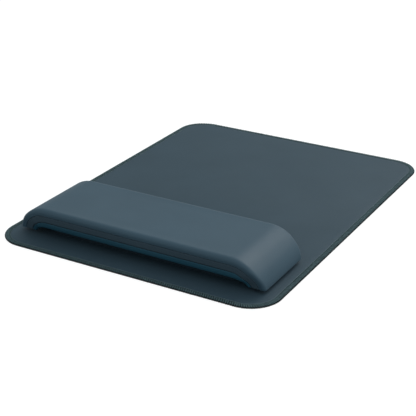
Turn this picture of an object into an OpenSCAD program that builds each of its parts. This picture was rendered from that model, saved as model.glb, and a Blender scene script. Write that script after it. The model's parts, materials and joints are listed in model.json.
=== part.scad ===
// Mouse mat with a bridge-shaped wrist rest that sets at two heights.
// The origin is the centre of the mat's underside, +Y points away from the user, +Z is up.
// The rest is drawn at its upper setting.

/* [Mat] */
// Width of the mat, from side to side
mat_w = 200; // [196:1:220]
// Depth of the mat, from front to back
mat_d = 260; // [240:1:280]
// Radius of the mat's corners
mat_corner_r = 20.5; // [12:0.5:30]
// Thickness of the non-slip backing
backing_t = 0.5; // [0.4:0.1:0.7]
// Thickness of the cushioning core
core_t = 0.5; // [0.4:0.1:1]
// Thickness of the top sheet
cover_t = 0.6; // [0.5:0.1:0.7]

/* [Hem] */
// Width of the stitched hem
hem_w = 3.2; // [2.5:0.1:4]
// Thickness of the overlock thread's layer
thread_t = 0.3; // [0.2:0.05:0.35]
// Width of the needle thread's line of stitches
needle_w = 0.4; // [0.3:0.05:0.6]

/* [Rest] */
// Length of the rest, from end to end
rest_len = 180.4; // [178:0.2:184]
// Depth of the rest at its top, from front to back
rest_d = 59; // [57:0.5:70]
// Strip of mat left in front of the rest
front_margin = 13.5; // [8:0.5:20]
// Height of the rest's top above the mat, at the upper setting
rest_top = 21; // [20.8:0.1:22]
// Thickness of the bar between its top and its underside
bar_t = 14.3; // [14.2:0.1:14.6]
// Radius of the arch where the underside turns down into each foot
arch_r = 16.5; // [15:0.1:16.8]
// Outer radius of the bends at both ends
bend_r = 22.2; // [21.8:0.1:24]
// Lean of the front and rear faces, inwards towards the mat, in degrees
face_lean = 9.5; // [2:0.5:10]
// Radius of the bar's long edges
edge_r = 4; // [3:0.1:5]
// Thickness of the skin and the gussets
skin_t = 1.2; // [0.8:0.1:1.5]
// Depth of the upper hairline gap below the top
upper_gap_drop = 4.9; // [4:0.1:5]
// Height of the gussets
gusset_h = 4.8; // [4:0.1:5]
// Width of the hairline gaps
gap_w = 0.25; // [0.1:0.05:0.4]

/* [Tray] */
// Wall of the support tray
tray_t = 2; // [1.6:0.1:2.2]
// Thickness of the tray's foot plates
foot_t = 1.5; // [1:0.1:2]

/* [Height setting] */
// Travel between the two settings, also the room under the feet at the upper one
travel = 2.2; // [2:0.1:2.4]
// Room left under the feet at the lower setting
foot_room = 0.2; // [0.2:0.1:0.4]
// Distance between the posts along the rest
post_pitch_x = 110; // [80:1:116]
// Distance between the posts from front to back
post_pitch_y = 23; // [22:0.5:24]
// Outer radius of a guide post
post_r = 4.5; // [4.4:0.1:4.6]

/* [Base] */
// Length of the base plate
base_len = 140; // [134:1:144]
// Depth of the base plate
base_d = 35; // [34:0.5:38]
// Thickness of the base plate
base_t = 2; // [1.8:0.1:2]
// Thickness of the double-sided tape
tape_t = 0.3; // [0.2:0.05:0.3]

/* [Hidden] */
$fn = 96;

// Clearances, the overshoot of cutting shapes, and a length beyond any part
glue_gap = 0.05;
slide_gap = 0.2;
overshoot = 1;
big = 400;

// Mat
mat_t = backing_t + core_t + cover_t;
rim_r = mat_t / 2;
rim_fill = 0.75;
rim_inset = rim_fill * rim_r;
band_inset = hem_w + needle_w + glue_gap;

// Rest, with heights counted from the mat's underside
front_y = front_margin - mat_d / 2;
back_y = front_y + rest_d;
mid_y = (front_y + back_y) / 2;
bend_x = rest_len / 2 - bend_r;
bend_z = mat_t + rest_top - bend_r;
ceiling_z = mat_t + rest_top - bar_t;
root_r = 2;
upper_gap_r = bend_r - upper_gap_drop;
lower_gap_r = upper_gap_r - gusset_h;
foot_z = mat_t + travel + foot_room;

// Base plate and guide posts
base_corner_r = 4;
tape_inset = 1;
plate_z = mat_t + tape_t;
plate_top = plate_z + base_t;
post_rise = 7.2;
post_top = plate_top + post_rise;
head_bore_r = 3.2;
shank_bore_r = 1.7;
boss_bore_r = 3.4;
ledge_rise = 3.5;
ledge_z = plate_top + ledge_rise;
ledge_t = 1.5;
groove_drop = 1.1;
upper_groove_z = post_top - groove_drop;
groove_r = 0.5;
ring_fn = 32;

// Sleeves of the tray
sleeve_wall = 1.5;
cap_t = 1.5;
pilot_cover = 0.5;
sleeve_z = plate_top + travel + slide_gap;
sleeve_in_r = post_r + slide_gap;
sleeve_out_r = sleeve_in_r + sleeve_wall;
cap_z = post_top + travel + slide_gap;
cap_top = cap_z + cap_t;
boss_r = 3;
boss_z = ledge_z + ledge_t + travel + slide_gap;
bead_r = 0.35;
pilot_r = 1.5;
pilot_top = cap_top - pilot_cover;

// Screws
head_r = 3;
head_t = 1.7;
head_play = 0.1;
head_z = ledge_z - head_play - head_t;
shank_r = 1.45;
drive_slot = [3.4, 0.7];
drive_depth = 0.9;

// Rounded rectangle between two corners
module rounded_rect(low, high, r) {
    size = high - low;
    translate(low + [r, 0])
        square([size.x - 2 * r, size.y]);
    translate(low + [0, r])
        square([size.x, size.y - 2 * r]);
    for (x = [low.x + r, high.x - r], y = [low.y + r, high.y - r])
        translate([x, y])
            circle(r);
}

// Outline of the mat, drawn in by inset
module mat_outline(inset) {
    corner = [mat_w / 2 - inset, mat_d / 2 - inset];
    rounded_rect(-corner, corner, mat_corner_r - inset);
}

// Sheet with the mat's outline between two heights
module mat_sheet(inset, low, high) {
    translate([0, 0, low])
        linear_extrude(high - low)
            mat_outline(inset);
}

// Closed band that follows the mat's rim between two insets and two heights
module mat_band(outer_inset, inner_inset, low, high) {
    translate([0, 0, low])
        linear_extrude(high - low)
            difference() {
                mat_outline(outer_inset);
                mat_outline(inner_inset);
            }
}

// Sweeps a section along the bar: straight in the middle, a quarter turn down at each end.
// The section's x is the distance from the bend's axis, and its y runs from front to back.
module bent_bar() {
    translate([0, 0, bend_z])
        rotate([0, -90, 0])
            linear_extrude(2 * bend_x, center = true)
                children();
    for (side = [0, 1])
        mirror([side, 0, 0])
            translate([bend_x, 0, bend_z])
                rotate([-90, 0, 0])
                    rotate([0, 0, -90])
                        rotate_extrude(angle = 90)
                            children();
}

// Everything that lies above a height
module above(height) {
    translate([-big / 2, -big / 2, height])
        cube([big, big, big]);
}

// Section of the bar, drawn in by inset. It starts below the underside, which the tunnel cuts.
module bar_section(inset) {
    rounded_rect(
        [root_r + inset, front_y + inset],
        [bend_r - inset, back_y - inset],
        edge_r - inset
    );
}

// Wedge between the two leaning faces, drawn in by inset
module leaning_faces(inset) {
    drop = mat_t + rest_top;
    lean = drop * tan(face_lean);
    rotate([90, 0, 90])
        linear_extrude(rest_len + 2 * overshoot, center = true)
            polygon([
                [front_y + inset, drop],
                [back_y - inset, drop],
                [back_y - lean - inset, 0],
                [front_y + lean + inset, 0]
            ]);
}

// The bar without its tunnel, drawn in by inset and cut off level at a height
module bar_hull(inset, cut_z) {
    intersection() {
        bent_bar()
            bar_section(inset);
        leaning_faces(inset);
        above(cut_z);
    }
}

// Space under the bar, widened by grow: flat above, with an arch towards each foot
module tunnel(grow) {
    translate([0, mid_y, ceiling_z - arch_r])
        rotate([90, 0, 0])
            linear_extrude(2 * rest_d, center = true) {
                translate([-bend_x, 0])
                    square([2 * bend_x, arch_r + grow]);
                for (side = [-1, 1])
                    translate([side * bend_x, 0])
                        circle(arch_r + grow);
            }
}

// Skin-like shell of the bar, as thick as wall
module bar_shell(wall) {
    difference() {
        bar_hull(0, foot_z);
        bar_hull(wall, foot_z - overshoot);
    }
}

// Layer of the bar between two distances from the bend's axis
module layer(low, high) {
    bent_bar()
        translate([low, front_y - overshoot])
            square([high - low, rest_d + 2 * overshoot]);
}

// Puts a child at each of the four guide posts
module at_posts() {
    for (x = [-0.5, 0.5] * post_pitch_x, y = [-0.5, 0.5] * post_pitch_y)
        translate([x, mid_y + y, 0])
            children();
}

// Upright cylinder between two heights
module column(r, low, high) {
    translate([0, 0, low])
        cylinder(h = high - low, r = r);
}

// Ring of round section, centred on the upright axis
module round_ring(ring_r, section_r, height) {
    translate([0, 0, height])
        rotate_extrude()
            translate([ring_r, 0])
                circle(section_r, $fn = ring_fn);
}

// Non-slip sheet: full size on top, stepped in below where the hem's thread wraps under it
module mat_backing() {
    color([0.11, 0.13, 0.15]) {
        mat_sheet(rim_inset, thread_t, backing_t);
        mat_sheet(hem_w + glue_gap, 0, thread_t);
    }
}

// Cushioning sheet between the backing and the top sheet
module mat_core() {
    color([0.16, 0.18, 0.2])
        mat_sheet(rim_inset, backing_t, backing_t + core_t);
}

// Smooth top sheet, pressed thinner under the hem
module mat_cover() {
    color([0.27, 0.33, 0.36]) {
        mat_sheet(rim_inset, backing_t + core_t, mat_t - thread_t);
        mat_sheet(band_inset, mat_t - thread_t, mat_t);
    }
}

// Sweeps a section round the mat's rim. The section's x is 0 at the rim and negative inwards,
// and its y is the height.
module around_rim() {
    corner = [mat_w / 2 - mat_corner_r, mat_d / 2 - mat_corner_r];
    for (turn = [0, 180])
        rotate([0, 0, turn]) {
            translate([mat_w / 2, 0, 0])
                rotate([90, 0, 0])
                    linear_extrude(2 * corner.y, center = true)
                        children();
            translate([0, mat_d / 2, 0])
                rotate([90, 0, 90])
                    linear_extrude(2 * corner.x, center = true)
                        children();
            translate([corner.x, corner.y, 0])
                rotate_extrude(angle = 90)
                    translate([mat_corner_r, 0])
                        children();
            translate([-corner.x, corner.y, 0])
                rotate([0, 0, 90])
                    rotate_extrude(angle = 90)
                        translate([mat_corner_r, 0])
                            children();
        }
}

// Layer of thread that wraps over, round and under the mat's rim, with a round outer edge
module hem_overlock_thread() {
    color([0.33, 0.41, 0.43])
        around_rim()
            difference() {
                union() {
                    translate([-rim_r, rim_r])
                        circle(rim_r);
                    translate([-hem_w, 0])
                        square([hem_w - rim_r, mat_t]);
                }
                translate([-2 * hem_w, thread_t - glue_gap])
                    square([2 * hem_w - rim_inset + glue_gap, mat_t - 2 * (thread_t - glue_gap)]);
            }
}

// Line of needle stitches that borders the hem
module hem_needle_thread() {
    color([0.24, 0.3, 0.33])
        mat_band(hem_w + glue_gap, hem_w + needle_w, mat_t - thread_t + glue_gap, mat_t);
}

// Double-sided tape between the base plate and the mat
module base_tape() {
    color([0.1, 0.1, 0.1])
        translate([0, mid_y, mat_t])
            linear_extrude(tape_t)
                base_outline(tape_inset);
}

// Outline of the base plate, drawn in by inset
module base_outline(inset) {
    corner = [base_len / 2 - inset, base_d / 2 - inset];
    rounded_rect(-corner, corner, base_corner_r - inset);
}

// Plate with four hollow guide posts. Each post has two click grooves, one travel apart,
// and an inner ledge that holds the screw's head.
module base_plate() {
    color([0.09, 0.1, 0.11])
        difference() {
            union() {
                translate([0, mid_y, plate_z])
                    linear_extrude(base_t)
                        base_outline(0);
                at_posts()
                    column(post_r, plate_z, post_top);
            }
            at_posts() {
                column(head_bore_r, plate_z - overshoot, ledge_z);
                column(shank_bore_r, ledge_z - overshoot, post_top);
                column(boss_bore_r, ledge_z + ledge_t, post_top + overshoot);
                round_ring(post_r + slide_gap, groove_r, upper_groove_z);
                round_ring(post_r + slide_gap, groove_r, upper_groove_z - travel);
            }
        }
}

// Body of the tray: side walls below the gussets, an arched deck and a plate across each foot
module tray_body() {
    difference() {
        union() {
            intersection() {
                bar_shell(tray_t);
                layer(root_r, lower_gap_r - gap_w / 2);
            }
            intersection() {
                bar_hull(skin_t + glue_gap, foot_z);
                tunnel(tray_t);
            }
            difference() {
                bar_hull(skin_t + glue_gap, foot_z);
                above(foot_z + foot_t);
            }
        }
        tunnel(0);
    }
}

// Bridge-shaped tray with four capped sleeves. Each sleeve has a bead that clicks into a
// post's groove, and a boss for the screw.
module support_tray() {
    color([0.13, 0.2, 0.24]) {
        difference() {
            union() {
                tray_body();
                at_posts()
                    column(sleeve_out_r, sleeve_z, cap_top);
            }
            at_posts() {
                column(sleeve_in_r, sleeve_z - overshoot, cap_z);
                column(pilot_r, cap_z - overshoot, pilot_top);
            }
        }
        at_posts() {
            difference() {
                column(boss_r, boss_z, cap_top);
                column(pilot_r, boss_z - overshoot, pilot_top);
            }
            round_ring(sleeve_in_r + slide_gap, bead_r, upper_groove_z);
        }
    }
}

// Captive screws: each head slides in a post's bore, and its shank is fixed in the tray's boss
module lift_screws() {
    color([0.7, 0.71, 0.73])
        at_posts()
            difference() {
                union() {
                    column(head_r, head_z, head_z + head_t);
                    column(shank_r, head_z + head_t / 2, pilot_top - slide_gap);
                }
                for (turn = [0, 90])
                    rotate([0, 0, turn])
                        translate([-drive_slot.x / 2, -drive_slot.y / 2, head_z - drive_depth])
                            cube([drive_slot.x, drive_slot.y, 2 * drive_depth]);
            }
}

// Cushion that fills the bar above the tray, with a pocket over each sleeve
module foam_pad() {
    foam_z = foot_z + foot_t + glue_gap;
    color([0.2, 0.21, 0.22])
        difference() {
            union() {
                intersection() {
                    bar_hull(skin_t + glue_gap, foam_z);
                    layer(lower_gap_r, bend_r);
                }
                intersection() {
                    bar_hull(tray_t + glue_gap, foam_z);
                    layer(root_r, lower_gap_r + glue_gap);
                }
            }
            tunnel(tray_t + glue_gap);
            at_posts()
                column(sleeve_out_r + glue_gap, 0, cap_top + glue_gap);
        }
}

// Soft-touch skin over the top, both long edges and both ends
module top_skin() {
    color([0.3, 0.37, 0.41])
        intersection() {
            bar_shell(skin_t);
            layer(upper_gap_r + gap_w / 2, bend_r + overshoot);
        }
}

// Strip that closes the front or the rear face below the skin, on the side of edge_y
module gusset(edge_y) {
    color([0.17, 0.24, 0.28])
        intersection() {
            bar_shell(skin_t);
            layer(lower_gap_r + gap_w / 2, upper_gap_r - gap_w / 2);
            translate([-big / 2, edge_y - rest_d / 2, 0])
                cube([big, rest_d, big]);
        }
}

module front_gusset() {
    gusset(front_y);
}

module rear_gusset() {
    gusset(back_y);
}

mat_backing();
mat_core();
mat_cover();
hem_overlock_thread();
hem_needle_thread();
base_tape();
base_plate();
support_tray();
lift_screws();
foam_pad();
top_skin();
front_gusset();
rear_gusset();
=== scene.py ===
import json
import math

import bpy
import numpy as np
from mathutils import Matrix, Vector


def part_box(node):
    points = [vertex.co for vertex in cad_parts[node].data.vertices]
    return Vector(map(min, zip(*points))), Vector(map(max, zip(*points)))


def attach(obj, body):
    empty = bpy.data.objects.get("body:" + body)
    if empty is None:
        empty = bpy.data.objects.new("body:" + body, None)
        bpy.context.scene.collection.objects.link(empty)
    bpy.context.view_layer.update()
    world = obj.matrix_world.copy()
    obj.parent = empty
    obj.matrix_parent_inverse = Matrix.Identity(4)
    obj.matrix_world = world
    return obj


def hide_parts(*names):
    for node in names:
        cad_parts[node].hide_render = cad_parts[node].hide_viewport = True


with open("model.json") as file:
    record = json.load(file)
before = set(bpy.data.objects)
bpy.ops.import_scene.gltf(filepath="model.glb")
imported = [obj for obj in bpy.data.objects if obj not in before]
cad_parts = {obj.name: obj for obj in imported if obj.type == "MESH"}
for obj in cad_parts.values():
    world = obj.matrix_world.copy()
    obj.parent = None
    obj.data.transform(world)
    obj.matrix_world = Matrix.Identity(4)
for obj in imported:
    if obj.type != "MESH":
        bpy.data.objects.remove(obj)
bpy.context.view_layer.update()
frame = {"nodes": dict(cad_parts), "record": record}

MM = 0.001
scene = bpy.context.scene


def box_mm(node):
    """Lowest and highest corner of a CAD node, in mm."""
    low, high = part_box(node)
    return np.array(low) / MM, np.array(high) / MM


# Sizes read from the CAD, in mm
_, (mat_half_w, mat_half_d, mat_t) = box_mm("hem_overlock_thread")
skin_low, skin_high = box_mm("top_skin")
screw_low, screw_high = box_mm("lift_screws")
post_top = box_mm("base_plate")[1][2]
travel = -frame["record"]["behaviour"]["joints"][0]["range_m"][0] / MM

# Mat
mat_corner_r = 20.5
rim_r = mat_t / 2
hem_w = 3.2

# Rest
rest_top = skin_high[2]
rest_half_len = skin_high[0]
mid_y = (skin_low[1] + skin_high[1]) / 2
half_depth = (skin_high[1] - skin_low[1]) / 2
foot_z = skin_low[2]
bend_r = 22.2
bend_x = rest_half_len - bend_r
bend_z = rest_top - bend_r
bar_t = 14.3
face_lean = math.radians(9.5)
skin_t = 1.2
tray_t = 2.0
glue_gap = 0.12

# How the real rest differs from plain arcs and flat ends, read from its visible shape
foot_flare = 1.0
front_tuck = 1.6
foot_thinning = 3.0
foot_round = 1.2
top_round, top_round_at_foot = 3.5, 2.1
low_round, low_round_at_foot = 1.7, 1.1

# Depths of the two hairline seams below the outside: on the straight, halfway down a bend, at the foot
seam_depths = ((4.9, 4.5, 4.3), (9.6, 9.4, 9.3))
seam_gaps = (0.2, 0.4)
edge_roll = 0.4


# ---------------------------------------------------------------- materials


class Graph:
    """A Principled material with a few shorthands for its node tree."""

    def __init__(self, name):
        self.mat = bpy.data.materials.new(name)
        self.mat.use_nodes = True
        self.tree = self.mat.node_tree
        self.shader = self.tree.nodes["Principled BSDF"]
        self.coords = self.add("ShaderNodeTexCoord").outputs["Object"]
        self.height = None

    def add(self, kind, **settings):
        """Adds a node of a kind with its settings."""
        node = self.tree.nodes.new(kind)
        for key, value in settings.items():
            setattr(node, key, value)
        return node

    def link(self, source, target):
        self.tree.links.new(source, target)

    def stretched(self, scale):
        """Object coordinates scaled apart along the axes."""
        node = self.add("ShaderNodeMapping")
        node.inputs["Scale"].default_value = scale
        self.link(self.coords, node.inputs["Vector"])
        return node.outputs["Vector"]

    def noise(self, scale, detail=3.0, rough=0.5, vector=None):
        node = self.add("ShaderNodeTexNoise")
        node.inputs["Scale"].default_value = scale
        node.inputs["Detail"].default_value = detail
        node.inputs["Roughness"].default_value = rough
        self.link(vector or self.coords, node.inputs["Vector"])
        return node.outputs["Fac"]

    def cells(self, scale, feature="SMOOTH_F1"):
        """Distance to the nearest cell centre, rounded off for SMOOTH_F1."""
        node = self.add("ShaderNodeTexVoronoi", feature=feature)
        node.inputs["Scale"].default_value = scale
        if feature == "SMOOTH_F1":
            node.inputs["Smoothness"].default_value = 0.6
        self.link(self.coords, node.inputs["Vector"])
        return node.outputs["Distance"]

    def mapped(self, value, low, high, start=0.0, end=1.0):
        """Maps start to end onto low to high."""
        node = self.add("ShaderNodeMapRange")
        self.link(value, node.inputs["Value"])
        node.inputs["From Min"].default_value = start
        node.inputs["From Max"].default_value = end
        node.inputs["To Min"].default_value = low
        node.inputs["To Max"].default_value = high
        return node.outputs["Result"]

    def maths(self, operation, a, b):
        node = self.add("ShaderNodeMath", operation=operation)
        for value, socket in zip((a, b), node.inputs):
            if isinstance(value, (int, float)):
                socket.default_value = value
            else:
                self.link(value, socket)
        return node.outputs["Value"]

    def ramp(self, value, stops):
        """Colour ramp through stops of position and colour."""
        node = self.add("ShaderNodeValToRGB")
        elements = node.color_ramp.elements
        while len(elements) < len(stops):
            elements.new(0.5)
        for element, (position, colour) in zip(elements, stops):
            element.position = position
            element.color = (*colour, 1.0)
        self.link(value, node.inputs["Fac"])
        return node.outputs["Color"]

    def shaded(self, value, colour, spread, edge=0.3):
        """Mixes a darker and a lighter shade of a colour by a value."""
        dark = tuple(c * (1 - spread) for c in colour)
        light = tuple(c * (1 + spread) for c in colour)
        return self.ramp(value, [(edge, dark), (1 - edge, light)])

    def mottle(self, value, colour, spread, edge=0.3):
        """Sets the base colour to a mix of two shades."""
        self.set("Base Color", self.shaded(value, colour, spread, edge))

    def bump(self, height, distance, strength=1.0):
        """Adds a layer of bump over the layers before it. distance is in metres."""
        node = self.add("ShaderNodeBump")
        node.inputs["Strength"].default_value = strength
        node.inputs["Distance"].default_value = distance
        self.link(height, node.inputs["Height"])
        if self.height is not None:
            self.link(self.height, node.inputs["Normal"])
        self.height = node.outputs["Normal"]
        self.link(self.height, self.shader.inputs["Normal"])

    def soft_edges(self, radius):
        """Rounds the shading of edges by a radius in metres."""
        node = self.add("ShaderNodeBevel", samples=4)
        node.inputs["Radius"].default_value = radius
        self.height = node.outputs["Normal"]
        self.link(self.height, self.shader.inputs["Normal"])

    def set(self, name, value):
        """Sets an input of the shader to a value or a socket."""
        if isinstance(value, (int, float, tuple)):
            self.shader.inputs[name].default_value = value
        else:
            self.link(value, self.shader.inputs[name])


def coated_cloth(name, colour, rough, shine, grain, sheen):
    """Soft-touch coated cloth: fine pebbled grain, cloudy shade, faint rubbed patches.
    grain is the number of pebbles in a metre."""
    g = Graph(name)
    cloud = g.noise(28, detail=4.0, rough=0.55)
    speck = g.noise(1500, detail=2.0)
    mixed = g.maths("ADD", g.maths("MULTIPLY", cloud, 0.7), g.maths("MULTIPLY", speck, 0.3))
    g.mottle(mixed, colour, spread=0.07)
    rubbed = g.noise(9, detail=3.0, rough=0.6)
    g.set("Roughness", g.mapped(rubbed, rough - 0.05, rough + 0.06, 0.3, 0.7))
    g.set("Specular IOR Level", shine)
    g.set("Sheen Weight", sheen)
    g.set("Sheen Roughness", 0.45)
    waves = g.noise(55, detail=2.0)
    pebbles = g.cells(grain)
    pores = g.noise(grain * 2.3, detail=2.0)
    g.bump(waves, 0.06 * MM, strength=0.5)
    g.bump(pebbles, 0.06 * MM, strength=0.35)
    g.bump(pores, 0.02 * MM, strength=0.3)
    return g.mat


def twisted_thread(name, colour, dark_below=None):
    """Polyester thread: fine slanting plies, shade changing from stitch to stitch. Towards the table
    it gets darker below a height in metres, a painted shade where it turns under the mat's rim."""
    g = Graph(name)
    thread = g.shaded(g.noise(900, detail=2.0), colour, spread=0.25)
    if dark_below:
        # Painted shade: below dark_below the thread colour is multiplied down to 0.12 where it turns under
        # the rim
        split = g.add("ShaderNodeSeparateXYZ")
        g.link(g.coords, split.inputs["Vector"])
        start, end = dark_below - 0.4 * MM, dark_below + 0.2 * MM
        rim_painted_shade = g.mapped(split.outputs["Z"], 0.12, 1.0, start, end)
        tone = g.add("ShaderNodeMixRGB", blend_type="MULTIPLY")
        tone.inputs["Fac"].default_value = 1.0
        g.link(thread, tone.inputs["Color1"])
        g.link(rim_painted_shade, tone.inputs["Color2"])
        thread = tone.outputs["Color"]
    g.set("Base Color", thread)
    plies = g.add("ShaderNodeTexWave", wave_type="BANDS", bands_direction="DIAGONAL")
    plies.inputs["Scale"].default_value = 1400
    plies.inputs["Distortion"].default_value = 2.0
    g.link(g.coords, plies.inputs["Vector"])
    g.bump(plies.outputs["Fac"], 0.04 * MM, strength=0.6)
    g.set("Roughness", g.mapped(g.noise(3000, detail=2.0), 0.55, 0.8))
    g.set("Specular IOR Level", 0.12)
    return g.mat


def moulded_plastic(name, colour, rough, bevel=None):
    """Injection-moulded plastic: spark-eroded texture, faint flow clouds and rubbed patches.
    bevel is the radius in metres that softens sharp edges."""
    g = Graph(name)
    if bevel:
        g.soft_edges(bevel)
    flow = g.noise(20, detail=3.0, rough=0.5, vector=g.stretched((0.4, 1.0, 1.0)))
    g.mottle(flow, colour, spread=0.1)
    rubbed = g.noise(60, detail=4.0, rough=0.6)
    g.set("Roughness", g.mapped(rubbed, rough - 0.06, rough + 0.08, 0.3, 0.7))
    g.set("Specular IOR Level", 0.35)
    spark_marks = g.noise(2600, detail=3.0, rough=0.6)
    g.bump(spark_marks, 0.03 * MM, strength=0.35)
    return g.mat


def rubber_sheet(name, colour, cell, depth):
    """Foamed rubber: open cells or a moulded non-slip pattern, dusty shade changes.
    cell is the number of cells in a metre and depth theirs, in metres."""
    g = Graph(name)
    dust = g.noise(70, detail=5.0, rough=0.6)
    g.mottle(dust, colour, spread=0.2)
    g.set("Roughness", g.mapped(g.noise(200, detail=3.0), 0.7, 0.92))
    g.set("Specular IOR Level", 0.25)
    g.bump(g.cells(cell, "F1"), depth, strength=0.8)
    g.bump(g.noise(cell * 3, detail=2.0), depth * 0.3, strength=0.5)
    return g.mat


def open_foam(name, colour):
    """Open-cell foam: deep round pores and a cloudy shade."""
    g = Graph(name)
    cloud = g.noise(35, detail=3.0)
    pores = g.cells(1100)
    shade = g.maths("ADD", g.maths("MULTIPLY", cloud, 0.5), g.maths("MULTIPLY", pores, 0.6))
    g.mottle(shade, colour, spread=0.15, edge=0.25)
    g.set("Roughness", g.mapped(g.noise(400, detail=2.0), 0.8, 0.95))
    g.set("Subsurface Weight", 0.1)
    g.set("Subsurface Scale", 2 * MM)
    g.bump(pores, 0.4 * MM, strength=0.8)
    return g.mat


def plated_steel(name, colour):
    """Zinc-plated steel: turned rings of scratches, blotchy plating."""
    g = Graph(name)
    g.soft_edges(0.12 * MM)
    blotches = g.noise(500, detail=4.0, rough=0.6)
    g.mottle(blotches, colour, spread=0.08)
    g.set("Metallic", 1.0)
    scratches = g.noise(300, detail=4.0, rough=0.7, vector=g.stretched((1.0, 1.0, 14.0)))
    g.set("Roughness", g.mapped(scratches, 0.24, 0.46))
    g.bump(scratches, 0.01 * MM, strength=0.4)
    return g.mat


skin_mat = coated_cloth(
    "skin_coated_cloth", (0.037, 0.069, 0.093), rough=0.5, shine=0.3, grain=1500, sheen=0.05
)
gusset_mat = coated_cloth(
    "gusset_coated_cloth", (0.039, 0.06, 0.076), rough=0.6, shine=0.25, grain=1700, sheen=0.03
)
cover_mat = coated_cloth(
    "cover_coated_cloth", (0.031, 0.053, 0.069), rough=0.58, shine=0.2, grain=1900, sheen=0.03
)
# Both hem threads carry painted shade below dark_below, where they turn under the rim
hem_mat = twisted_thread("hem_polyester_thread", (0.088, 0.133, 0.14), dark_below=1.62 * MM)
# The looper threads below the stitches are coloured near-black: real threads, with a painted shade in the
# gaps between the stitches
hem_gap_shade_mat = twisted_thread("hem_gap_painted_shade", (0.004, 0.009, 0.013), dark_below=1.5 * MM)
needle_mat = twisted_thread("needle_polyester_thread", (0.1, 0.14, 0.152))
tray_mat = moulded_plastic("tray_moulded_plastic", (0.013, 0.06, 0.088), rough=0.5)
base_mat = moulded_plastic("base_moulded_plastic", (0.008, 0.018, 0.026), rough=0.55, bevel=0.3 * MM)
tape_mat = rubber_sheet("tape_acrylic_foam", (0.02, 0.02, 0.02), cell=2200, depth=0.03 * MM)
core_mat = rubber_sheet("core_closed_cell_rubber", (0.03, 0.035, 0.038), cell=1500, depth=0.06 * MM)
backing_mat = rubber_sheet("backing_nonslip_rubber", (0.022, 0.026, 0.03), cell=420, depth=0.25 * MM)
foam_mat = open_foam("foam_open_cell", (0.05, 0.054, 0.058))
screw_mat = plated_steel("screw_plated_steel", (0.62, 0.63, 0.65))


# ---------------------------------------------------------------- mesh helpers


def add_object(name, data):
    """Puts a mesh, light or camera into the scene."""
    made = bpy.data.objects.new(name, data)
    scene.collection.objects.link(made)
    return made


def add_piece(name, verts_mm, faces, material, body, node, sharp=None):
    """Makes a smooth-shaded mesh piece from points in mm. It rides on a CAD body and replaces a node.
    sharp is the angle in degrees from which edges stay sharp."""
    mesh = bpy.data.meshes.new(name)
    mesh.from_pydata((verts_mm * MM).tolist(), [], faces)
    mesh.update()
    mesh.shade_smooth()
    if sharp is not None:
        mesh.set_sharp_from_angle(angle=math.radians(sharp))
    mesh.materials.append(material)
    piece = add_object(name, mesh)
    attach(piece, body)
    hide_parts(node)
    return piece


def grid_faces(rows, columns, closed_rows=False, closed_columns=False):
    """Quads of a grid of points stored row by row."""
    i = np.arange(rows if closed_rows else rows - 1)
    j = np.arange(columns if closed_columns else columns - 1)
    i, j = (a.ravel() for a in np.meshgrid(i, j, indexing="ij"))
    i2, j2 = (i + 1) % rows, (j + 1) % columns
    quads = [i * columns + j, i2 * columns + j, i2 * columns + j2, i * columns + j2]
    return np.stack(quads, axis=1).tolist()


def joined(parts):
    """Joins pairs of vertices and faces into one pair."""
    verts, faces, start = [], [], 0
    for part_verts, part_faces in parts:
        verts.append(part_verts)
        faces += [[index + start for index in face] for face in part_faces]
        start += len(part_verts)
    return np.concatenate(verts), faces


def turned(faces):
    """The same faces, seen from the other side."""
    return [face[::-1] for face in faces]


def smooth(t):
    """Eased step from 0 to 1."""
    t = np.clip(t, 0.0, 1.0)
    return t * t * (3 - 2 * t)


# ---------------------------------------------------------------- mat


def rim_sides():
    """Half lengths of the mat's straight sides, and the lengths of the eight stretches of its rim."""
    half_w, half_d = mat_half_w - mat_corner_r, mat_half_d - mat_corner_r
    quarter = mat_corner_r * math.pi / 2
    return half_w, half_d, np.array([2 * half_d, quarter, 2 * half_w, quarter] * 2)


def rim_length():
    """Length of the mat's rim."""
    return rim_sides()[2].sum()


def rim_frame(along):
    """Centres and outward directions at positions along the mat's rim. The stretches are sides and
    corners in turn, from the near end of the right side."""
    half_w, half_d, lengths = rim_sides()
    starts = np.concatenate([[0.0], np.cumsum(lengths)])
    along = np.mod(along, starts[-1])
    stretch = np.clip(np.searchsorted(starts, along, side="right") - 1, 0, len(lengths) - 1)
    share = (along - starts[stretch]) / lengths[stretch]
    signs = np.array([(1, -1), (1, 1), (1, 1), (-1, 1), (-1, 1), (-1, -1), (-1, -1), (1, -1), (1, -1)])
    corners = signs * (half_w, half_d)
    centre = corners[stretch] * (1 - share)[..., None] + corners[stretch + 1] * share[..., None]
    angle = (stretch // 2 + np.where(stretch % 2 == 1, share, 0.0)) * math.pi / 2
    return centre, np.stack([np.cos(angle), np.sin(angle)], axis=-1)


def rim_points(along, inset, height):
    """Points inset mm inside the rim, at positions along it and at heights."""
    centre, out = rim_frame(np.asarray(along, float))
    flat = centre + out * (mat_corner_r - np.asarray(inset, float))[..., None]
    height = np.broadcast_to(np.asarray(height, float), flat.shape[:-1])
    return np.concatenate([flat, height[..., None]], axis=-1)


def rim_rings(section):
    """Rings round the mat, one for each inset and height of a section: their points, and how many
    points each has."""
    side_points, corner_points = 30, 28
    marks, start = [], 0.0
    for length, count in zip(rim_sides()[2], [side_points, corner_points] * 4):
        marks += list(start + length * np.arange(count) / count)
        start += length
    rings = [rim_points(marks, np.full(len(marks), inset), height) for inset, height in section]
    return np.concatenate(rings), len(marks)


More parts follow.
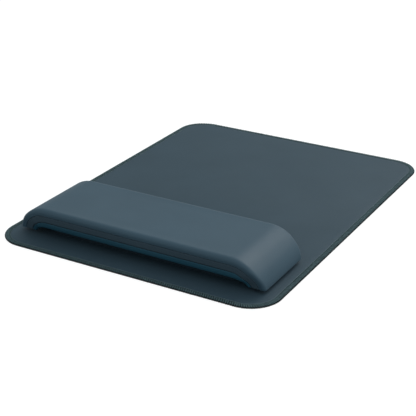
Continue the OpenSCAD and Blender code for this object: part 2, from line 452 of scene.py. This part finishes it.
def make_cover():
    """Top sheet: flat, drawn down to the needle line and pressed thin under the hem."""
    well = hem_w + 0.5
    drop, drop_width = 0.13, 1.1
    insets = (19, 16, 13, 11, 9, 7.5, 6.5, 5.8, 5.2, 4.8, 4.5, 4.2, 4.0, well)
    rings = [(inset, mat_t - drop * math.exp(-(((inset - well) / drop_width) ** 2))) for inset in insets]
    pressed = [(well - 0.1, 0.24), (hem_w + 0.15, 0.3), (1.2, 0.32), (0.7, 0.38), (0.58, 0.5), (0.6, 0.58)]
    rings += [(inset, mat_t - depth) for inset, depth in pressed]
    verts, count = rim_rings(rings)
    rows = len(rings)
    faces = turned(grid_faces(rows, count, closed_columns=True))
    faces.append(list(range(count)))
    faces.append(list(range((rows - 1) * count, rows * count))[::-1])
    add_piece("mat_cover_sheet", verts, faces, cover_mat, "mat", "mat_cover", sharp=50)


def strands(paths, ups, half_width, half_height):
    """Tubes along many paths at once. paths and ups are arrays of strand, point, xyz."""
    sides = 8
    taper = 0.45
    count, points, _ = paths.shape
    ahead = np.gradient(paths, axis=1)
    ahead /= np.linalg.norm(ahead, axis=2, keepdims=True)
    ups = ups - (ups * ahead).sum(axis=2, keepdims=True) * ahead
    ups /= np.linalg.norm(ups, axis=2, keepdims=True)
    across = np.cross(ahead, ups)
    turn = np.arange(sides) * 2 * math.pi / sides
    thin = np.ones(points)
    thin[[0, -1]] = taper
    wide = across[:, :, None, :] * (np.cos(turn) * half_width)[None, None, :, None]
    high = ups[:, :, None, :] * (np.sin(turn) * half_height)[None, None, :, None]
    ring = (wide + high) * thin[None, :, None, None]
    verts = (paths[:, :, None, :] + ring).reshape(-1, 3)
    tube = np.array(grid_faces(points, sides, closed_columns=True))
    starts = np.arange(count) * points * sides
    faces = (tube[None, :, :] + starts[:, None, None]).reshape(-1, 4).tolist()
    cap = np.arange(sides)
    last = (points - 1) * sides
    faces += (cap[None, ::-1] + starts[:, None]).tolist()
    faces += (cap[None, :] + last + starts[:, None]).tolist()
    return verts, faces


def rim_arc(radius, angles):
    """Insets and heights of an arc round the middle of the rim's round edge."""
    return [(rim_r - radius * math.cos(angle), rim_r + radius * math.sin(angle)) for angle in angles]


def overlock_gap_shade():
    """Thin mesh of looper threads wrapped round the rim, seen in the gaps between the stitches; its
    near-black colour is painted shade in those gaps.
    """
    wall, deep = 0.07, 0.12
    angles = np.linspace(1.4, -1.4, 9)
    section = [(hem_w, mat_t - deep), (rim_r, mat_t - deep)]
    section += rim_arc(rim_r - deep, angles)
    section += [(rim_r, deep), (hem_w, deep), (hem_w, deep + wall), (rim_r, deep + wall)]
    section += rim_arc(rim_r - deep - wall, angles[::-1])
    section += [(rim_r, mat_t - deep - wall), (hem_w, mat_t - deep - wall)]
    verts, count = rim_rings(section)
    return verts, grid_faces(len(section), count, True, True)


def overlock_strands():
    """Slanting strands that start in the hem's inner edge and wrap over, round and under the rim."""
    rng = np.random.default_rng(7)
    pitch, slant = 1.5, 1.25
    half_width, half_height = 0.45, 0.2
    pitch_error, slant_error = 0.035, 0.02
    low_lift, high_lift = -0.02, 0.03
    top, low = mat_t - 0.05, half_height + 0.04
    count = int(round(rim_length() / pitch))
    start = np.arange(count) * rim_length() / count + rng.normal(0, pitch_error, count)

    # One strand: four points over the hem, round_points round the rim, and four points under the mat
    round_points = 7
    turn = np.linspace(math.pi / 2, -math.pi / 2, round_points)
    over_inset = [3.3, 3.1, 2.4, 1.6]
    round_inset = 0.5 - 0.72 * np.cos(turn)
    inset = np.concatenate([over_inset, round_inset, over_inset[::-1]])
    over_height = mat_t - np.array([0.42, 0.2, 0.06, 0.02])
    round_height = (top + low) / 2 + (top - low) / 2 * np.sin(turn)
    height = np.concatenate([over_height, round_height, [low, low, low, 0.42]])
    round_reach = np.linspace(0.85, 1.15, round_points)
    reach = np.concatenate([[0.0, 0.06, 0.3, 0.62], round_reach, [1.4, 1.7, 1.94, 2.0]])
    up_in = np.concatenate([[0.0] * 4, np.cos(turn), [0.0] * 4])
    up_z = np.concatenate([[1.0] * 4, np.sin(turn), [-1.0] * 4])

    along = start[:, None] + slant * reach + rng.normal(0, slant_error, (count, 1)) * reach
    lift = rng.uniform(low_lift, high_lift, (count, 1))
    paths = rim_points(along, inset - lift * up_in, height + lift * up_z)
    _, out = rim_frame(along)
    flat_ups = out * up_in[None, :, None]
    ups = np.concatenate([flat_ups, np.broadcast_to(up_z, along.shape)[..., None]], axis=2)
    return strands(paths, ups, half_width, half_height)


def make_overlock():
    """Overlock hem: the strands and, as a second material, the ground of thin threads below them, coloured
    near-black as painted shade.
    """
    stitches = overlock_strands()
    verts, faces = joined([stitches, overlock_gap_shade()])
    piece = add_piece("hem_overlock_stitches", verts, faces, hem_mat, "mat", "hem_overlock_thread")
    piece.data.materials.append(hem_gap_shade_mat)
    slots = np.zeros(len(faces), dtype=np.int32)
    slots[len(stitches[1]):] = 1
    piece.data.polygons.foreach_set("material_index", slots)


def make_needle_line():
    """Needle stitches: short raised runs of thread that dive into the cover at each end."""
    rng = np.random.default_rng(11)
    pitch, inset = 2.3, hem_w + 0.28
    half_width, half_height = 0.19, 0.15
    side_error, bow = 0.02, 0.03
    count = int(round(rim_length() / pitch))
    start = np.arange(count) * rim_length() / count
    steps = np.array([0.02, 0.1, 0.25, 0.5, 0.75, 0.9, 0.98]) * pitch
    rise = mat_t - np.array([0.42, 0.2, 0.1, 0.06, 0.1, 0.2, 0.42])
    sway = rng.normal(0, side_error, (count, 1)) + bow * np.cos(np.linspace(0, math.pi, len(steps)))
    paths = rim_points(start[:, None] + steps, inset + sway, rise)
    ups = np.zeros(paths.shape)
    ups[..., 2] = 1.0
    verts, faces = strands(paths, ups, half_width, half_height)
    add_piece("hem_needle_stitches", verts, faces, needle_mat, "mat", "hem_needle_thread")


# ---------------------------------------------------------------- rest


def section_half(bend):
    """One half of the rest's section, from the middle of its top over the face to the middle of its
    underside: distances from the bend's axis, distances from the mid-plane, and outward normals.
    bend runs from 0 on the straight to 1 at the foot."""
    outer = bend_r + foot_flare * smooth(2 * bend - 1)
    inner = bend_r - bar_t + foot_thinning * bend ** 2
    top_r = top_round + (top_round_at_foot - top_round) * smooth(1.5 * bend)
    low_r = low_round + (low_round_at_foot - low_round) * smooth(2 * bend - 1)
    crown_points, arc_points, face_points, under_points = 24, 15, 11, 16
    arc = np.linspace(0, math.pi / 2, arc_points)
    crown = np.linspace(0, half_depth - top_r, crown_points + 1)[:-1]
    face = np.linspace(outer - top_r, inner + low_r, face_points + 2)[1:-1]
    under = np.linspace(half_depth - low_r, 0, under_points + 1)[1:]
    top_arc_r, top_arc_h = outer - top_r + top_r * np.cos(arc), half_depth - top_r + top_r * np.sin(arc)
    low_arc_r, low_arc_h = inner + low_r - low_r * np.sin(arc), half_depth - low_r + low_r * np.cos(arc)
    crown_r, under_r = np.full(crown_points, outer), np.full(under_points, inner)
    face_h = np.full(face_points, half_depth)
    r = np.concatenate([crown_r, top_arc_r, face, low_arc_r, under_r])
    h = np.concatenate([crown, top_arc_h, face_h, low_arc_h, under])
    up, level, down = np.ones(crown_points), np.zeros(face_points), -np.ones(under_points)
    nr = np.concatenate([up, np.cos(arc), level, -np.sin(arc), down])
    nh = np.concatenate([0 * up, np.sin(arc), np.ones(face_points), np.cos(arc), 0 * down])
    return r, h, nr, nh


def seam_depth(which, bend):
    """Depth of a hairline seam below the outer surface."""
    start, half, end = seam_depths[which]
    return start + (half - start) * smooth(2 * bend) + (end - half) * smooth(2 * bend - 1)


class Station:
    """One cross-section of the rest. side is -1, 0 or 1 for the left bend, the straight or the right
    bend, bend is how far round the bend it lies, x is its place on the straight, and turn is its angle
    in the foot's rounding, or None above that. r and h are distances from the bend's axis and from the
    mid-plane, nr and nh the outward normal there, and arc the way round the section to there, in mm."""

    def __init__(self, side, bend, x=0.0, turn=None):
        self.side, self.bend, self.x, self.turn = side, bend, x, turn
        self.r, self.h, self.nr, self.nh = section_half(bend)
        step = np.hypot(np.diff(self.r), np.diff(self.h))
        self.arc = np.concatenate([[0.0], np.cumsum(step)])
        tiny = np.arange(len(self.r)) * 1e-7
        depth = np.maximum.accumulate(self.r[0] - self.r + tiny)
        self.seams = [float(np.interp(seam_depth(which, bend), depth, self.arc)) for which in (0, 1)]
        self.draw = 0.0 if turn is None else foot_round * (1 - math.cos(turn))

    def foot_end(self):
        """Height at which this section would meet the foot."""
        rise = 1.0 if self.turn is None else 1 - math.sin(self.turn)
        return foot_z + foot_round * rise

    def place(self, arc, inset, front):
        """Points in mm at arc positions of the section, inset mm inside its surface."""
        nr, nh = np.interp(arc, self.arc, self.nr), np.interp(arc, self.arc, self.nh)
        size = np.hypot(nr, nh)
        side_draw, end_draw = 0.5, 0.3
        inset = inset + self.draw * (side_draw + (end_draw - side_draw) * nr / size)
        r = np.interp(arc, self.arc, self.r) - inset * nr / size
        h = np.interp(arc, self.arc, self.h) - inset * nh / size
        if self.side == 0:
            x, z = np.full(r.shape, self.x), bend_z + r
        else:
            last = np.arccos(np.clip((self.foot_end() - bend_z) / r, -1, 1))
            angle = last * self.bend
            x, z = self.side * (bend_x + r * np.sin(angle)), bend_z + r * np.cos(angle)
        lean = (rest_top - z) * math.tan(face_lean)
        if front:
            lean = lean + front_tuck * smooth(2 * self.bend - 1)
        y = mid_y + (-1 if front else 1) * h * (1 - lean / half_depth)
        return np.stack([x, y, z], axis=-1)

    def both(self, arc, inset):
        """The same points on the front half and on the rear half."""
        return self.place(arc, inset, True), self.place(arc, inset, False)


def rest_stations():
    """Sections of the rest from the left foot over the straight to the right foot."""
    straight, bends, rounds = 46, 26, 7
    bend_marks = np.linspace(0, 1, bends + 1)[1:]
    turns = np.linspace(0, math.pi / 2, rounds + 1)[1:]
    right = [Station(1, bend) for bend in bend_marks] + [Station(1, 1.0, turn=turn) for turn in turns]
    left = [Station(-1, bend) for bend in bend_marks] + [Station(-1, 1.0, turn=turn) for turn in turns]
    middle = [Station(0, 0.0, x) for x in np.linspace(-bend_x, bend_x, straight)]
    return left[::-1] + middle + right


stations = rest_stations()
screw_head_r = 3.0
sleeve_xs = (screw_low[0] + screw_head_r, screw_high[0] - screw_head_r)
sleeve_ys = (screw_low[1] + screw_head_r, screw_high[1] - screw_head_r)
sleeve_centres = [(x, y) for x in sleeve_xs for y in sleeve_ys]


def rolled(edge, sign):
    """Arc positions and insets of a rolled edge at an arc position, from the face to the groove.
    sign is 1 for an edge at the end of a strip and -1 for one at its start."""
    distance = edge_roll * np.array([1.0, 0.72, 0.48, 0.28, 0.13, 0.04, 0.0])
    inset = edge_roll * (1 - np.sqrt(np.clip(1 - (1 - distance / edge_roll) ** 2, 0, 1)))
    return edge - sign * distance, inset


def skin_loop(station):
    """The top skin's section at a station: its outside, then its inside, from one edge to the other."""
    edge = station.seams[0] - seam_gaps[0] / 2
    roll_arc, roll_in = rolled(edge, 1)
    outside_points, inside_points = 33, 12
    spread = 1 - (1 - np.linspace(0, 1, outside_points + 1)) ** 1.5
    arc = np.concatenate([spread[:-1] * roll_arc[0], roll_arc])
    inset = np.concatenate([np.zeros(outside_points), roll_in])
    out_front, out_rear = station.both(arc, inset)
    in_front, in_rear = station.both(np.linspace(edge, 0, inside_points), skin_t)
    outside = np.concatenate([out_rear[::-1], out_front[1:]])
    return outside, np.concatenate([in_front, in_rear[::-1][1:]])


def strip_loop(station, front):
    """Closed loop round the strip of the face between the two hairline seams, with rolled edges."""
    low = station.seams[0] + seam_gaps[0] / 2
    high = station.seams[1] - seam_gaps[1] / 2
    first, first_in = rolled(low, -1)
    last, last_in = rolled(high, 1)
    middle_points, back_points = 12, 6
    middle = np.linspace(first[0], last[0], middle_points + 2)[1:-1]
    arc = np.concatenate([first[::-1], middle, last])
    inset = np.concatenate([first_in[::-1], np.zeros(middle_points), last_in])
    back = np.linspace(high, low, back_points)
    return np.concatenate([station.place(arc, inset, front), station.place(back, skin_t, front)])


def swept(loops, flip):
    """Vertices and faces of closed loops joined one to the next, with both ends capped."""
    count, points = len(loops), len(loops[0])
    faces = grid_faces(count, points, closed_columns=True)
    faces += [list(range(points))[::-1], list(range((count - 1) * points, count * points))]
    return np.concatenate(loops), turned(faces) if flip else faces


def fanned(verts, faces):
    """Splits both end caps of a swept body into triangles round their middles, so that cutting the body
    keeps the points along their edges."""
    *walls, first, last = faces
    for cap in (first, last):
        middle = len(verts)
        verts = np.concatenate([verts, verts[cap].mean(axis=0, keepdims=True)])
        walls += [[cap[i - 1], cap[i], middle] for i in range(len(cap))]
    return verts, walls


def lathe(profile, centre, steps=48):
    """Closed body of revolution from a closed profile of radius and height."""
    turn = np.arange(steps) * 2 * math.pi / steps
    r, z = np.array(profile).T
    height = np.broadcast_to(z, (steps, len(r)))
    rings = np.stack([np.outer(np.cos(turn), r), np.outer(np.sin(turn), r), height], axis=2)
    rings[..., 0] += centre[0]
    rings[..., 1] += centre[1]
    return rings.reshape(-1, 3), grid_faces(steps, len(r), True, True)


def cut_away(piece, verts, faces):
    """Cuts a closed body out of a piece."""
    mesh = bpy.data.meshes.new("cutter")
    mesh.from_pydata((verts * MM).tolist(), [], turned(faces))
    cutter = add_object("cutter", mesh)
    cut = piece.modifiers.new("cut", "BOOLEAN")
    cut.operation, cut.solver, cut.object = "DIFFERENCE", "EXACT", cutter
    shape = bpy.data.meshes.new_from_object(piece.evaluated_get(bpy.context.evaluated_depsgraph_get()))
    piece.modifiers.clear()
    piece.data = shape
    bpy.data.objects.remove(cutter)


def set_cloth(settings):
    """Light, springy coated cloth with air pressure below it."""
    settings.quality = 6
    settings.mass = 0.2
    settings.tension_stiffness = 60
    settings.compression_stiffness = 60
    settings.shear_stiffness = 40
    settings.bending_stiffness = 2.0
    settings.vertex_group_mass = "pins"
    settings.use_pressure = True
    settings.uniform_pressure_force = 1.2
    settings.effector_weights.gravity = 0.0


def puffed(grid):
    """Lets the skin's outside swell under the foam: a cloth with its border pinned and air below.
    grid is stations by points. Returns how far each point moved, in mm, scaled to a small swell."""
    swell, frames, pinned_rings = 0.45, 20, 2
    rows, columns, _ = grid.shape
    mesh = bpy.data.meshes.new("puff")
    mesh.from_pydata((grid.reshape(-1, 3) * MM).tolist(), [], grid_faces(rows, columns))
    cloth = add_object("puff", mesh)
    i, j = np.meshgrid(np.arange(rows), np.arange(columns), indexing="ij")
    from_rim = np.minimum(np.minimum(i, rows - 1 - i), np.minimum(j, columns - 1 - j))
    pins = cloth.vertex_groups.new(name="pins")
    pins.add(np.flatnonzero(from_rim.ravel() < pinned_rings).tolist(), 1.0, "REPLACE")
    modifier = cloth.modifiers.new("Cloth", "CLOTH")
    set_cloth(modifier.settings)
    modifier.collision_settings.use_collision = False
    modifier.collision_settings.use_self_collision = False
    scene.frame_start, scene.frame_end = 1, frames
    for number in range(1, frames + 1):
        scene.frame_set(number)
    shape = cloth.evaluated_get(bpy.context.evaluated_depsgraph_get()).to_mesh()
    after = np.empty(len(shape.vertices) * 3)
    shape.vertices.foreach_get("co", after)
    moved = after.reshape(rows, columns, 3) / MM - grid
    scene.frame_set(1)
    bpy.data.objects.remove(cloth)
    bpy.data.meshes.remove(mesh)
    most = np.linalg.norm(moved, axis=2).max()
    if not np.isfinite(most) or most < 1e-6:
        return np.zeros(grid.shape)
    return moved * (swell / most)


def make_top_skin():
    """Coated cloth over the top, both long edges and both ends, swollen a little by the foam."""
    still_stations, still_points = 8, 7
    pairs = [skin_loop(station) for station in stations]
    outside = np.stack([pair[0] for pair in pairs])
    free = outside[still_stations:-still_stations, still_points:-still_points]
    free += puffed(free)
    loops = [np.concatenate([outer, inner]) for outer, (_, inner) in zip(outside, pairs)]
    verts, faces = swept(loops, True)
    add_piece("rest_top_skin", verts, faces, skin_mat, "rest", "top_skin", sharp=70)


def make_gussets():
    """Strips of coated cloth between the two hairline seams, front and rear."""
    for side, front in (("front", True), ("rear", False)):
        loops = [strip_loop(station, front) for station in stations]
        verts, faces = swept(loops, not front)
        add_piece(f"rest_{side}_gusset", verts, faces, gusset_mat, "rest", f"{side}_gusset", sharp=70)


def make_foam():
    """Cushion under the skin, with a pocket over each sleeve of the tray."""
    end_stations = 5
    pocket_r, pocket_top = 6.4, post_top + travel + 1.9
    pocket = [(0.01, 0.0), (pocket_r, 0.0), (pocket_r, pocket_top), (0.01, pocket_top)]
    loops = []
    for station in stations[end_stations:-end_stations]:
        wall = np.where(station.arc < station.seams[1], skin_t, tray_t)
        front, rear = station.both(station.arc, wall + glue_gap)
        loops.append(np.concatenate([front, rear[::-1][1:-1]]))
    verts, faces = fanned(*swept(loops, False))
    foam = add_piece("rest_foam_pad", verts, faces, foam_mat, "rest", "foam_pad", sharp=50)
    for centre in sleeve_centres:
        cut_away(foam, *lathe(pocket, centre))


def sleeve_profile():
    """Section of a capped sleeve with its click bead and screw boss, as radius and height."""
    bore_r, outer_r, boss_r, screw_r = 4.7, 6.2, 3.0, 1.5
    post_height, clearance = 7.2, 0.2
    cap_t, cap_skin, boss_drop = 1.5, 0.5, 5.0
    bead_depth, bead_half, bead_below_top = 0.15, 0.35, 1.1
    chamfer = 0.2
    low = post_top - post_height + travel + clearance
    cap = post_top + travel + clearance
    top = cap + cap_t
    boss_low = low + boss_drop
    bead_z = post_top - bead_below_top
    outer = [(outer_r, top - 0.4), (outer_r, low + 0.3), (5.9, low), (4.95, low), (bore_r, low + 0.25)]
    turns = np.linspace(-1.4, 1.4, 9)
    bead = [(bore_r - bead_depth * math.cos(turn), bead_z + bead_half * math.sin(turn)) for turn in turns]
    boss = [(bore_r, cap), (boss_r, cap), (boss_r, boss_low + chamfer), (boss_r - chamfer, boss_low)]
    boss += [(screw_r + chamfer, boss_low), (screw_r, boss_low + chamfer)]
    crown = [(screw_r, top - cap_skin), (0.02, top - cap_skin), (0.02, top), (5.8, top)]
    return outer + bead + boss + crown


def tray_loop(station):
    """Closed loop round the tray's bent channel at a station."""
    outside_points, inside_points = 41, 14
    low = station.seams[1] + seam_gaps[1] / 2
    end = station.arc[-1]
    roll_arc, roll_in = rolled(low, -1)
    body = np.linspace(roll_arc[0], end, outside_points + 1)[1:]
    arc = np.concatenate([roll_arc[::-1], body])
    inset = np.concatenate([roll_in[::-1], np.zeros(outside_points)])
    front, rear = station.both(arc, inset)
    in_front, in_rear = station.both(np.linspace(end, low, inside_points), tray_t)
    return np.concatenate([front, rear[::-1][1:], in_rear[::-1], in_front[1:-1]])


def foot_plate(station):
    """Plate that closes a foot from below, inside the skin and the gussets."""
    edge, plate_t = 0.35, 1.5
    rings = []
    for extra, rise in [(edge, 0.0), (0.0, edge), (0.0, plate_t), (0.3, plate_t + 0.05)]:
        front, rear = station.both(station.arc, skin_t + glue_gap + extra)
        ring = np.concatenate([front, rear[::-1][1:-1]])
        ring[:, 2] = foot_z + rise
        rings.append(ring)
    return swept(rings, station.side > 0)


def make_tray():
    """Support tray: bent channel under the rest, a plate in each foot and four capped sleeves."""
    parts = [swept([tray_loop(station) for station in stations], False)]
    parts += [foot_plate(station) for station in (stations[0], stations[-1])]
    parts += [lathe(sleeve_profile(), centre) for centre in sleeve_centres]
    verts, faces = joined(parts)
    add_piece("rest_support_tray", verts, faces, tray_mat, "rest", "support_tray", sharp=40)


make_cover()
make_overlock()
make_needle_line()
make_top_skin()
make_gussets()
make_tray()
make_foam()

carried_over = (
    ("mat_backing", backing_mat),
    ("mat_core", core_mat),
    ("base_tape", tape_mat),
    ("base_plate", base_mat),
    ("lift_screws", screw_mat),
)
for node, material in carried_over:
    materials = frame["nodes"][node].data.materials
    materials.clear()
    materials.append(material)


# ---------------------------------------------------------------- stage


def make_floor():
    """Pale floor that shows a faint contact shadow and throws no light back."""
    half, below, shadow = 6.0, 0.1 * MM, 0.22
    mesh = bpy.data.meshes.new("floor")
    corners = [(-half, -half, 0), (half, -half, 0), (half, half, 0), (-half, half, 0)]
    mesh.from_pydata(corners, [], [(0, 1, 2, 3)])
    floor = add_object("floor", mesh)
    floor.location.z = -below
    g = Graph("floor_pale")
    glow = g.add("ShaderNodeEmission")
    glow.inputs["Color"].default_value = (1, 1, 1, 1)
    glow.inputs["Strength"].default_value = 1.15
    g.set("Base Color", g.ramp(g.noise(3, detail=2.0), [(0.3, (0.86, 0.86, 0.87)), (0.7, (0.9, 0.9, 0.9))]))
    g.set("Roughness", 0.9)
    g.set("Specular IOR Level", 0.1)
    mix = g.add("ShaderNodeMixShader")
    mix.inputs["Fac"].default_value = shadow
    g.link(glow.outputs["Emission"], mix.inputs[1])
    g.link(g.shader.outputs["BSDF"], mix.inputs[2])
    g.link(mix.outputs["Shader"], g.tree.nodes["Material Output"].inputs["Surface"])
    mesh.materials.append(g.mat)
    floor.visible_diffuse = False
    floor.visible_glossy = False


def add_area(name, position, target, size, power, colour=(1, 1, 1)):
    """Round area light at a position, turned towards a target, in metres and watts."""
    light = bpy.data.lights.new(name, "AREA")
    light.shape = "DISK"
    light.size = size
    light.energy = power
    light.color = colour
    lamp = add_object(name, light)
    lamp.location = position
    lamp.rotation_euler = (Vector(target) - Vector(position)).to_track_quat("-Z", "Y").to_euler()


def blend_along(tree, value, edge, low, high):
    """World strength that goes from low to high while a direction goes from -edge to edge."""
    node = tree.nodes.new("ShaderNodeMapRange")
    tree.links.new(value, node.inputs["Value"])
    node.inputs["From Min"].default_value = -edge
    node.inputs["From Max"].default_value = edge
    node.inputs["To Min"].default_value = low
    node.inputs["To Max"].default_value = high
    return node.outputs["Result"]


def make_world():
    """Soft studio light: white to the camera, and for the light on the object a little weaker from
    behind and from below the horizon."""
    world = bpy.data.worlds.new("studio")
    world.use_nodes = True
    tree = world.node_tree
    tree.nodes.clear()
    coords = tree.nodes.new("ShaderNodeTexCoord")
    split = tree.nodes.new("ShaderNodeSeparateXYZ")
    tree.links.new(coords.outputs["Generated"], split.inputs["Vector"])
    strength = tree.nodes.new("ShaderNodeMath")
    strength.operation = "MULTIPLY"
    tree.links.new(blend_along(tree, split.outputs["Y"], 0.7, 0.7, 0.58), strength.inputs[0])
    tree.links.new(blend_along(tree, split.outputs["Z"], 0.15, 0.45, 1.0), strength.inputs[1])
    lit = tree.nodes.new("ShaderNodeBackground")
    lit.inputs["Color"].default_value = (0.82, 0.98, 1.06, 1)
    tree.links.new(strength.outputs["Value"], lit.inputs["Strength"])
    seen = tree.nodes.new("ShaderNodeBackground")
    seen.inputs["Color"].default_value = (1, 1, 1, 1)
    seen.inputs["Strength"].default_value = 1.0
    path = tree.nodes.new("ShaderNodeLightPath")
    mix = tree.nodes.new("ShaderNodeMixShader")
    tree.links.new(path.outputs["Is Camera Ray"], mix.inputs["Fac"])
    tree.links.new(lit.outputs["Background"], mix.inputs[1])
    tree.links.new(seen.outputs["Background"], mix.inputs[2])
    output = tree.nodes.new("ShaderNodeOutputWorld")
    tree.links.new(mix.outputs["Shader"], output.inputs["Surface"])
    scene.world = world


def make_camera():
    """Camera at the viewing angle of the reference picture. Position is in metres, lens in mm."""
    azimuth, pitch, roll = math.radians(29.80), math.radians(24.35), math.radians(0.05)
    position = (0.34341, -0.62087, 0.31515)
    level = math.cos(pitch)
    ahead = Vector((-math.sin(azimuth) * level, math.cos(azimuth) * level, -math.sin(pitch)))
    data = bpy.data.cameras.new("camera")
    data.lens, data.sensor_width = 95.19, 36
    camera = add_object("camera", data)
    turn = ahead.to_track_quat("-Z", "Y").to_matrix().to_4x4()
    camera.matrix_world = Matrix.Translation(position) @ turn @ Matrix.Rotation(roll, 4, "Z")
    scene.camera = camera


make_floor()
make_world()
add_area("key", (0.28, 0.95, 0.85), (0.05, -0.1, 0), size=1.0, power=7.5, colour=(1.0, 0.99, 0.97))
add_area("side", (0.9, -0.2, 0.45), (0, -0.08, 0), size=0.5, power=1.5)
add_area("top", (0.3, 0.1, 1.4), (0, 0, 0), size=0.9, power=1.5)
make_camera()
scene.view_settings.view_transform = "Standard"
